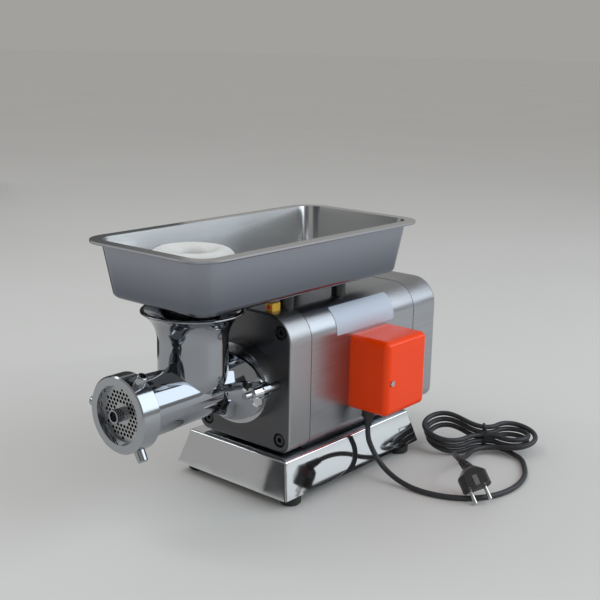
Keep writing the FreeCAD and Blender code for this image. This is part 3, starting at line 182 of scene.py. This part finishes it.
class Finish:
    """A material: one shader, varied by fine noise over the piece's own coordinates."""

    grain_low, grain_high = 0.3, 0.7

    def __init__(self, name, colour, metallic, roughness):
        self.material = bpy.data.materials.new(name)
        self.material.use_nodes = True
        self.tree = self.material.node_tree
        self.coordinates = self.tree.nodes.new("ShaderNodeTexCoord")
        self.shader = self.tree.nodes["Principled BSDF"]
        self.shader.inputs["Base Color"].default_value = (*colour, 1)
        self.shader.inputs["Metallic"].default_value = metallic
        self.shader.inputs["Roughness"].default_value = roughness

    def grain(self, scale, detail=3.0, stretch=(1, 1, 1)):
        """Fine noise, drawn out along one way where stretch differs by axis."""
        mapping = self.tree.nodes.new("ShaderNodeMapping")
        mapping.inputs["Scale"].default_value = stretch
        noise = self.tree.nodes.new("ShaderNodeTexNoise")
        noise.inputs["Scale"].default_value = scale
        noise.inputs["Detail"].default_value = detail
        self.tree.links.new(self.coordinates.outputs["Object"], mapping.inputs["Vector"])
        self.tree.links.new(mapping.outputs["Vector"], noise.inputs["Vector"])
        return noise.outputs["Fac"]

    def gloss(self, amount, smooth, rough):
        """Let the roughness follow a 0 to 1 value, between two limits."""
        remap = self.tree.nodes.new("ShaderNodeMapRange")
        remap.inputs["From Min"].default_value = self.grain_low
        remap.inputs["From Max"].default_value = self.grain_high
        remap.inputs["To Min"].default_value = smooth
        remap.inputs["To Max"].default_value = rough
        self.tree.links.new(amount, remap.inputs["Value"])
        self.tree.links.new(remap.outputs["Result"], self.shader.inputs["Roughness"])

    def tone(self, amount, dark, light, target=None):
        """Let the colour, or another colour socket, follow a 0 to 1 value."""
        ramp = self.tree.nodes.new("ShaderNodeValToRGB")
        first, last = ramp.color_ramp.elements
        first.position, first.color = self.grain_low, (*dark, 1)
        last.position, last.color = self.grain_high, (*light, 1)
        self.tree.links.new(amount, ramp.inputs["Fac"])
        self.tree.links.new(ramp.outputs["Color"], target or self.shader.inputs["Base Color"])

    def relief(self, amount, depth, strength=1.0):
        """Raise the surface by a 0 to 1 value times depth, in metres."""
        bump = self.tree.nodes.new("ShaderNodeBump")
        bump.inputs["Strength"].default_value = strength
        bump.inputs["Distance"].default_value = depth
        self.tree.links.new(amount, bump.inputs["Height"])
        self.tree.links.new(bump.outputs["Normal"], self.shader.inputs["Normal"])

    def dress(self, *names):
        """Give CAD nodes this finish."""
        for name in names:
            slots = nodes[name].data.materials
            slots.clear()
            slots.append(self.material)


cord_sheath = Finish("cord_sheath", (0.028, 0.029, 0.032), metallic=0.0, roughness=0.48)
scuffs = cord_sheath.grain(scale=260)
cord_sheath.gloss(scuffs, 0.40, 0.58)
cord_sheath.tone(scuffs, (0.020, 0.021, 0.024), (0.036, 0.038, 0.042))
cord_sheath.relief(cord_sheath.grain(scale=900), depth=0.00005)
cord_curve.materials.append(cord_sheath.material)
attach(mains_cord, "body")
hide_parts("cord_lead", "cord_hank", "cord_tail")

# Plug, tie and gland: black mouldings with a faint grain, the plug moulded round the end of the lead with
# its bent relief. Two bright nickel pins stand in its face, and darker metal clips lie in its sides.
moulded_black = Finish("moulded_black", (0.018, 0.018, 0.019), metallic=0.0, roughness=0.38)
mould_grain = moulded_black.grain(scale=700)
moulded_black.gloss(mould_grain, 0.30, 0.46)
moulded_black.tone(mould_grain, (0.014, 0.014, 0.015), (0.026, 0.026, 0.027))
moulded_black.relief(mould_grain, depth=0.00006)
moulded_black.dress("plug_body", "cord_tie", "cable_gland", "capacitor", "cooling_fan")
nickel = Finish("nickel", (0.72, 0.70, 0.66), metallic=1.0, roughness=0.18)
nickel.gloss(nickel.grain(scale=480), 0.12, 0.26)
nickel.dress("plug_pins")
clip_metal = Finish("clip_metal", (0.30, 0.29, 0.28), metallic=1.0, roughness=0.30)
clip_metal.gloss(clip_metal.grain(scale=200), 0.25, 0.36)
clip_metal.dress("plug_clips")

# Studio: one wide pale table top that runs out of sight, a broad cool window lamp, a soft ceiling lamp and
# a narrow strip lamp for the edge of the polish, in a pale room.
floor_side = 120.0
room_light = 0.60
room_colour = (0.362, 0.356, 0.344, 1)


def flat_sheet(name, width, height, finish):
    """A plain rectangle about the origin."""
    x, y = width / 2, height / 2
    mesh = bpy.data.meshes.new(name)
    mesh.from_pydata([(-x, -y, 0), (x, -y, 0), (x, y, 0), (-x, y, 0)], [], [(0, 1, 2, 3)])
    mesh.materials.append(finish.material)
    return put(name, mesh)


def facing(place, aim, front):
    """The stand of something at a place whose front axis points to its aim."""
    place, aim = Vector(place), Vector(aim)
    return Matrix.Translation(place) @ (aim - place).to_track_quat(front, "Y").to_matrix().to_4x4()


def lamp(name, place, aim, width, height, power, tint):
    light = put(name, bpy.data.lights.new(name, "AREA"))
    light.data.shape = "RECTANGLE"
    light.data.size = width
    light.data.size_y = height
    light.data.energy = power
    light.data.color = tint
    light.matrix_world = facing(place, aim, "-Z")
    return light


def wire(tree, *links):
    """Join sockets, each link given as a node, its outlet, the next node and its inlet."""
    for source, outlet, target, inlet in links:
        tree.links.new(source.outputs[outlet], target.inputs[inlet])


table_top = Finish("table_top", (0.60, 0.59, 0.57), metallic=0.0, roughness=0.60)
table_top.tone(table_top.grain(scale=1.5), (0.59, 0.58, 0.56), (0.61, 0.60, 0.58))
flat_sheet("floor", floor_side, floor_side, table_top)
lamp("window_lamp", place=(1.9, 1.2, 1.5), aim=(0, 0, 0.15), width=2.6, height=2.2, power=40,
     tint=(0.80, 0.91, 1.0))
ceiling_lamp = lamp("ceiling_lamp", place=(-0.9, -1.2, 2.2), aim=(0, 0, 0.2), width=2.6, height=2.0, power=18,
                    tint=(0.94, 0.98, 1.0))
ceiling_lamp.visible_glossy = False
lamp("strip_lamp", place=(-1.5, -0.9, 1.7), aim=(0, -0.1, 0.2), width=0.3, height=2.0, power=6,
     tint=(0.90, 0.96, 1.0))

room = bpy.data.worlds.new("room")
scene.world = room
room.use_nodes = True
room_nodes = room.node_tree.nodes
room_nodes.clear()
ray = room_nodes.new("ShaderNodeLightPath")
seen = room_nodes.new("ShaderNodeMath")
seen.operation = "MAXIMUM"
shown = room_nodes.new("ShaderNodeMath")
shown.operation = "MAXIMUM"
ambient = room_nodes.new("ShaderNodeBackground")
ambient.inputs["Color"].default_value = (1, 1, 1, 1)
ambient.inputs["Strength"].default_value = room_light
backdrop = room_nodes.new("ShaderNodeBackground")
backdrop.inputs["Color"].default_value = room_colour
backdrop.inputs["Strength"].default_value = 1.0
choose = room_nodes.new("ShaderNodeMixShader")
room_out = room_nodes.new("ShaderNodeOutputWorld")
wire(room.node_tree, (ray, "Is Camera Ray", seen, 0), (ray, "Is Glossy Ray", seen, 1),
     (seen, "Value", shown, 0), (ray, "Is Transmission Ray", shown, 1), (shown, "Value", choose, "Fac"),
     (ambient, "Background", choose, 1), (backdrop, "Background", choose, 2),
     (choose, "Shader", room_out, "Surface"))

# Dark screens: four upright cloths stand round the machine, where only the polish of its metal mirrors
# them, so that the pale room doesn't wash the steel out.
screen_cloth = Finish("screen_cloth", (0.06, 0.06, 0.062), metallic=0.0, roughness=0.9)


def screen(name, place, aim, width, height):
    cloth = flat_sheet(name, width, height, screen_cloth)
    cloth.matrix_world = facing(place, aim, "Z")
    cloth.visible_camera = False
    cloth.visible_diffuse = False
    cloth.visible_shadow = False
    cloth.visible_transmission = False


screen("screen_front", place=(-0.4, -2.4, 0.7), aim=(0, 0, 0.2), width=2.6, height=1.6)
screen("screen_side", place=(2.7, -0.8, 0.6), aim=(0, 0, 0.2), width=1.8, height=1.3)
screen("screen_far", place=(-2.6, 0.2, 0.7), aim=(0, 0, 0.2), width=2.4, height=1.5)
screen("screen_behind", place=(-0.60, 0.08, 0.25), aim=(-0.018, -0.137, 0.25), width=0.5, height=0.5)

# Base: a folded skirt of mirror-polished stainless sheet over a plain bottom plate. It stands on black
# rubber feet held by sunk screws, and a rubber pad lies between it and the body bolted on top.
polished = Finish("polished_steel", (0.76, 0.78, 0.80), metallic=1.0, roughness=0.05)
polished.gloss(polished.grain(scale=38, detail=4), 0.03, 0.07)
polished.relief(polished.grain(scale=14, detail=1), depth=0.0005, strength=0.1)
polished.dress("base_skirt")
plain_plate = Finish("plain_plate", (0.50, 0.50, 0.51), metallic=1.0, roughness=0.4)
plain_plate.gloss(plain_plate.grain(scale=120, stretch=(6, 1, 1)), 0.32, 0.5)
plain_plate.dress("bottom_plate", "box_bracket")
rubber = Finish("black_rubber", (0.02, 0.02, 0.02), metallic=0.0, roughness=0.75)
bloom = rubber.grain(scale=420)
rubber.gloss(bloom, 0.62, 0.85)
rubber.tone(bloom, (0.014, 0.014, 0.014), (0.032, 0.032, 0.031))
rubber.relief(bloom, depth=0.00012)
rubber.dress("rubber_feet", "body_pad", "shaft_seal")
screw_steel = Finish("screw_steel", (0.52, 0.52, 0.53), metallic=1.0, roughness=0.28)
screw_steel.gloss(screw_steel.grain(scale=600), 0.2, 0.38)
screw_steel.dress("foot_screws", "body_bolts", "body_nuts", "rear_screws", "box_screw")

# Motor body: a sheet-steel wrapper and a deep rear cap, brushed along the machine, behind a cast satin gear
# housing whose front face is painted darker than its sides, a painted shade. Four black socket screws hold
# the housing, sunk in round pockets.
brush_strokes = {"scale": 1500, "detail": 2, "stretch": (1, 0.012, 1)}
shaded_front_facing, lit_side_facing = -0.95, -0.60


def by_axis(finish, coordinate, axis, start, end):
    """A 0 to 1 value along one axis of a piece's place or of the way that its surface faces."""
    split = finish.tree.nodes.new("ShaderNodeSeparateXYZ")
    remap = finish.tree.nodes.new("ShaderNodeMapRange")
    remap.inputs["From Min"].default_value = start
    remap.inputs["From Max"].default_value = end
    wire(finish.tree, (finish.coordinates, coordinate, split, "Vector"), (split, axis, remap, "Value"))
    return remap.outputs["Result"]


brushed = Finish("brushed_steel", (0.40, 0.41, 0.43), metallic=1.0, roughness=0.32)
brushed.shader.inputs["Anisotropic"].default_value = 0.4
strokes = brushed.grain(**brush_strokes)
brushed.gloss(strokes, 0.28, 0.36)
brushed.tone(strokes, (0.39, 0.40, 0.425), (0.46, 0.47, 0.495))
brushed.dress("main_shell", "rear_cover")
satin_housing = Finish("satin_housing", (0.40, 0.40, 0.41), metallic=1.0, roughness=0.38)
satin_housing.gloss(satin_housing.grain(**brush_strokes), 0.34, 0.42)
# Painted shade: faces turned to the front take a far darker colour than the housing's sides.
satin_housing.tone(by_axis(satin_housing, "Normal", "Y", shaded_front_facing, lit_side_facing),
                   (0.115, 0.115, 0.12), (0.42, 0.42, 0.43))
satin_housing.dress("front_housing")
dark_screw = Finish("dark_screw", (0.07, 0.07, 0.075), metallic=1.0, roughness=0.35)
dark_screw.gloss(dark_screw.grain(scale=500), 0.28, 0.42)
dark_screw.dress("front_screws")

# Pocket shade: a flat black ring lies round the head of each of the four front screws, close to the floor
# of its pocket, as painted shade in the gap between the head and the pocket wall.
pocket_depth = 6.0
screw_across = 120.0
screw_top_inset, screw_low_inset = 20.0, 16.0
ring_radius, ring_width, ring_thickness, ring_gap = 7.75, 2.1, 1.2, 0.15
ring_steps = 40


def box_at(node):
    """A CAD node's lowest and highest corner, in millimetres from the middle of the base."""
    return [(corner - base_middle) * 1000 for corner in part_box(node)]


joint_strip = Finish("joint_strip", (0.03, 0.03, 0.03), metallic=0.0, roughness=0.6)
joint_strip.gloss(joint_strip.grain(scale=500), 0.5, 0.7)
housing_low, housing_high = box_at("front_housing")
screw_top, screw_low = housing_high.z - screw_top_inset, housing_low.z + screw_low_inset
ring_middle = housing_low.y + pocket_depth - ring_gap - ring_thickness / 2

shade_ring_tree = bpy.data.node_groups.new("pocket_shade_rings", "GeometryNodeTree")
shade_ring_sizes = {}
for name, size in (("Across", screw_across), ("Up", screw_top - screw_low), ("Ring radius", ring_radius),
                   ("Ring width", ring_width), ("Ring thickness", ring_thickness)):
    socket = shade_ring_tree.interface.new_socket(name, in_out="INPUT", socket_type="NodeSocketFloat")
    shade_ring_sizes[socket.identifier] = size / 1000
shade_ring_tree.interface.new_socket("Shade rings", in_out="OUTPUT", socket_type="NodeSocketGeometry")
given = shade_ring_tree.nodes.new("NodeGroupInput")
corners = shade_ring_tree.nodes.new("GeometryNodeMeshGrid")
corners.inputs["Vertices X"].default_value = 2
corners.inputs["Vertices Y"].default_value = 2
ring = shade_ring_tree.nodes.new("GeometryNodeCurvePrimitiveCircle")
ring.inputs["Resolution"].default_value = ring_steps
edge = shade_ring_tree.nodes.new("GeometryNodeCurvePrimitiveQuadrilateral")
shade_ring = shade_ring_tree.nodes.new("GeometryNodeCurveToMesh")
copies = shade_ring_tree.nodes.new("GeometryNodeInstanceOnPoints")
stand = shade_ring_tree.nodes.new("GeometryNodeTransform")
stand.inputs["Rotation"].default_value = (math.pi / 2, 0, 0)
stand.inputs["Translation"].default_value = at(0, ring_middle, (screw_top + screw_low) / 2)
real = shade_ring_tree.nodes.new("GeometryNodeRealizeInstances")
skin = shade_ring_tree.nodes.new("GeometryNodeSetMaterial")
skin.inputs["Material"].default_value = joint_strip.material
made = shade_ring_tree.nodes.new("NodeGroupOutput")
wire(shade_ring_tree, (given, "Across", corners, "Size X"), (given, "Up", corners, "Size Y"),
     (given, "Ring radius", ring, "Radius"), (given, "Ring width", edge, "Width"),
     (given, "Ring thickness", edge, "Height"), (ring, "Curve", shade_ring, "Curve"),
     (edge, "Curve", shade_ring, "Profile Curve"), (corners, "Mesh", copies, "Points"),
     (shade_ring, "Mesh", copies, "Instance"), (copies, "Instances", stand, "Geometry"),
     (stand, "Geometry", real, "Geometry"), (real, "Geometry", skin, "Geometry"),
     (skin, "Geometry", made, "Shade rings"))
draft = put("shade_ring_draft", bpy.data.meshes.new("shade_ring_draft"))
modifier = draft.modifiers.new("shade_rings", "NODES")
modifier.node_group = shade_ring_tree
for identifier, size in shade_ring_sizes.items():
    modifier[identifier] = size
shade_ring_mesh = bpy.data.meshes.new_from_object(draft.evaluated_get(bpy.context.evaluated_depsgraph_get()))
draft.modifiers.remove(modifier)
bpy.data.objects.remove(draft)
# A black ring of painted shade in each screw pocket.
shade_rings = put("pocket_shade_rings", shade_ring_mesh)
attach(shade_rings, "body")

# Joint strips: two thin strips of the same black rubber run right round the body and close its seams,
# pressed in where the gear housing, the wrapper and the rear cap meet.
top_round, low_round = 35.0, 15.0
round_steps = 10
strip_width, strip_proud, strip_sunk = 1.5, 0.2, 0.4
shell_low, shell_high = box_at("main_shell")
body_half = (shell_high.x - shell_low.x) / 2
low_side, low_height = body_half - low_round, shell_low.z + low_round
top_side, top_height = body_half - top_round, shell_high.z - top_round


def body_section(proud):
    """The body's rounded section as points across and up, standing proud by a little."""
    points = []
    for x, z, radius, start in ((low_side, low_height, low_round, -90), (top_side, top_height, top_round, 0),
                                (-top_side, top_height, top_round, 90),
                                (-low_side, low_height, low_round, 180)):
        for step in range(round_steps + 1):
            angle = math.radians(start + 90 * step / round_steps)
            points.append((x + (radius + proud) * math.cos(angle), z + (radius + proud) * math.sin(angle)))
    return points


def closed_piece(name, mesh, finish):
    """An object from a finished mesh, with its faces turned outwards."""
    bmesh.ops.recalc_face_normals(mesh, faces=mesh.faces)
    data = bpy.data.meshes.new(name)
    mesh.to_mesh(data)
    mesh.free()
    data.materials.append(finish.material)
    return put(name, data)


for name, seam in (("front_joint", shell_low.y), ("rear_joint", shell_high.y)):
    strip_mesh = bmesh.new()
    rings = []
    for y, proud in ((-strip_width / 2, -strip_sunk), (-strip_width / 4, strip_proud),
                     (strip_width / 4, strip_proud), (strip_width / 2, -strip_sunk)):
        rings.append([strip_mesh.verts.new(at(x, seam + y, z)) for x, z in body_section(proud)])
    for first, second in zip(rings, rings[1:] + rings[:1]):
        for n in range(len(first)):
            strip_mesh.faces.new((first[n - 1], first[n], second[n], second[n - 1]))
    strip = closed_piece(name, strip_mesh, joint_strip)
    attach(strip, "body")

# Shoulder plate: a bare plate of thin pale anodised aluminium, rolled to the round of the body's shoulder
# and stuck on above the control box, its corners cut back a little.
plate_front, plate_rear = -27.0, 92.0
plate_low, plate_high = -5.0, 58.0
plate_back, plate_face = 0.05, 0.5
plate_corner = 1.6
plate_rows = 14
plate_mesh = bmesh.new()
layers = []
for proud in (plate_back, plate_face):
    rows = []
    for row in range(plate_rows + 1):
        angle = math.radians(plate_low + (plate_high - plate_low) * row / plate_rows)
        x = top_side + (top_round + proud) * math.cos(angle)
        z = top_height + (top_round + proud) * math.sin(angle)
        inset = plate_corner if row in (0, plate_rows) else 0.0
        rows.append([plate_mesh.verts.new(at(x, y, z)) for y in (plate_front + inset, plate_rear - inset)])
    layers.append(rows)
for rows in layers:
    for low, high in zip(rows, rows[1:]):
        plate_mesh.faces.new((low[0], low[1], high[1], high[0]))
inner, outer = layers
for row in range(plate_rows):
    for end in (0, 1):
        plate_mesh.faces.new((inner[row][end], inner[row + 1][end], outer[row + 1][end], outer[row][end]))
for row in (0, plate_rows):
    plate_mesh.faces.new((inner[row][0], inner[row][1], outer[row][1], outer[row][0]))
anodised = Finish("anodised_plate", (0.50, 0.55, 0.63), metallic=0.3, roughness=0.55)
anodised.gloss(anodised.grain(scale=500, stretch=(1, 0.1, 1)), 0.5, 0.6)
shoulder_plate = closed_piece("shoulder_plate", plate_mesh, anodised)
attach(shoulder_plate, "body")

# Drive line: the motor and its two gear steps, closed inside the body. Shafts, gears and bearings are
# ground steel, the core is stacked sheet iron with copper windings, and the carriers are cast aluminium.
ground_steel = Finish("ground_steel", (0.52, 0.52, 0.54), metallic=1.0, roughness=0.25)
ground_steel.gloss(ground_steel.grain(scale=300, stretch=(1, 8, 1)), 0.18, 0.34)
ground_steel.dress("output_bearings", "layshaft_bearings", "motor_bearings", "output_shaft", "layshaft",
                   "motor_shaft", "output_gear", "layshaft_gear", "motor_pinion")
core_iron = Finish("core_iron", (0.20, 0.20, 0.21), metallic=0.8, roughness=0.5)
laminations = core_iron.grain(scale=40, stretch=(0.05, 60, 0.05))
core_iron.gloss(laminations, 0.4, 0.6)
core_iron.relief(laminations, depth=0.0002)
core_iron.dress("stator", "rotor_core")
copper = Finish("copper_wire", (0.62, 0.28, 0.15), metallic=0.9, roughness=0.4)
wires = copper.grain(scale=30, stretch=(40, 40, 3))
copper.tone(wires, (0.42, 0.17, 0.08), (0.70, 0.34, 0.19))
copper.relief(wires, depth=0.0005)
copper.dress("windings")
cast_alloy = Finish("cast_aluminium", (0.58, 0.58, 0.59), metallic=1.0, roughness=0.5)
casting = cast_alloy.grain(scale=350)
cast_alloy.gloss(casting, 0.42, 0.62)
cast_alloy.relief(casting, depth=0.0002)
cast_alloy.dress("gear_plate", "end_shield", "joint_frame", "motor_frame", "motor_saddles")

# Head clamp: an oval ring of polished steel, held to the gear housing by sunk socket screws. Two studs
# pass its open side slots and the ears of the head, and the wing nuts on them draw the head home.
clamp_steel = Finish("clamp_steel", (0.50, 0.50, 0.51), metallic=1.0, roughness=0.22)
clamp_steel.gloss(clamp_steel.grain(scale=60), 0.18, 0.27)
clamp_steel.dress("mounting_ring")
polished.dress("wing_nut_left", "wing_nut_right")
screw_steel.dress("clamp_studs", "ring_screws")

# Grinder head: a polished stainless casting with a trumpet mouth, whose buffed skin waves a little. A
# bronze bush carries the auger, and a three-lugged ring nut holds the hole plate in front of the knife.
buffed = Finish("buffed_casting", (0.35, 0.365, 0.39), metallic=1.0, roughness=0.08)
buffed.gloss(buffed.grain(scale=30, detail=2), 0.05, 0.11)
buffed.relief(buffed.grain(scale=18, detail=1), depth=0.0006, strength=0.15)
buffed.dress("grinder_head", "auger")
faced = Finish("faced_steel", (0.40, 0.415, 0.435), metallic=1.0, roughness=0.14)
faced.gloss(faced.grain(scale=30, detail=2), 0.10, 0.18)
faced.dress("ring_nut")
machined = Finish("machined_steel", (0.44, 0.44, 0.45), metallic=1.0, roughness=0.28)
machined.gloss(machined.grain(scale=40), 0.25, 0.31)
machined.dress("hole_plate", "cross_knife")
bronze = Finish("bronze_bush", (0.55, 0.36, 0.16), metallic=1.0, roughness=0.35)
bronze.gloss(bronze.grain(scale=200), 0.28, 0.42)
bronze.dress("rear_bush")

# Hopper tray: a deep pan pressed from satin stainless sheet, with a rolled rim and a spout that sits in
# the head's mouth. Its outside carries painted shade, darker towards the floor, and its inside and rim a
# painted lit colour. It stands on four glossy black posts.
tray_shade_low, tray_shade_high = 0.235, 0.335
upright_blend = 0.08
lit_inside_colour = (0.66, 0.67, 0.68, 1)
satin = Finish("satin_sheet", (0.42, 0.43, 0.46), metallic=1.0, roughness=0.22)
satin.gloss(satin.grain(scale=7, detail=1), 0.19, 0.25)
# Painted light: faces turned down take the painted shade, which darkens towards the floor. Faces turned up
# take the lighter lit inside colour.
shade_mix = satin.tree.nodes.new("ShaderNodeMix")
shade_mix.data_type = "RGBA"
shade_mix.inputs["B"].default_value = lit_inside_colour
satin.tree.links.new(by_axis(satin, "Normal", "Z", -upright_blend, upright_blend), shade_mix.inputs["Factor"])
satin.tone(by_axis(satin, "Object", "Z", tray_shade_low, tray_shade_high), (0.15, 0.16, 0.19), (0.29, 0.30, 0.34),
           target=shade_mix.inputs["A"])
satin.tree.links.new(shade_mix.outputs["Result"], satin.shader.inputs["Base Color"])
satin.dress("hopper_tray")
glossy_black = Finish("glossy_posts", (0.015, 0.015, 0.015), metallic=0.0, roughness=0.22)
glossy_black.gloss(glossy_black.grain(scale=150), 0.16, 0.3)
glossy_black.dress("tray_posts")

# Pusher: a hollow moulding of white food-safe plastic that drops into the tray's spout, with a broad
# dished ring for a head. Light goes a little way into it.
white_moulding = Finish("white_moulding", (0.66, 0.66, 0.64), metallic=0.0, roughness=0.35)
white_moulding.shader.inputs["Subsurface Weight"].default_value = 0.1
white_moulding.shader.inputs["Subsurface Radius"].default_value = (0.004, 0.004, 0.004)
white_flow = white_moulding.grain(scale=60)
white_moulding.tone(white_flow, (0.64, 0.64, 0.62), (0.68, 0.68, 0.66))
white_moulding.gloss(white_flow, 0.3, 0.42)
white_moulding.dress("pusher")

# Stop switch: a small block of yellow plastic on the gear housing's shoulder under the tray, with a
# sprung red push button in its front.
yellow = Finish("yellow_moulding", (0.86, 0.50, 0.03), metallic=0.0, roughness=0.35)
yellow.gloss(yellow.grain(scale=500), 0.28, 0.42)
yellow.dress("switch_block")
red = Finish("red_moulding", (0.60, 0.02, 0.015), metallic=0.0, roughness=0.3)
red.gloss(red.grain(scale=500), 0.24, 0.38)
red.dress("stop_button")

# Control box: a glossy orange-red moulded cover with rounded edges, held to the body's side by one screw.
# The capacitor is inside it, and the lead's gland goes in through its floor.
orange = Finish("orange_moulding", (0.96, 0.060, 0.002), metallic=0.0, roughness=0.20)
orange.shader.inputs["Specular IOR Level"].default_value = 0.25
orange_flow = orange.grain(scale=12, detail=1)
orange.tone(orange_flow, (0.94, 0.056, 0.002), (0.98, 0.064, 0.003))
orange.gloss(orange_flow, 0.18, 0.23)
orange.dress("control_box")
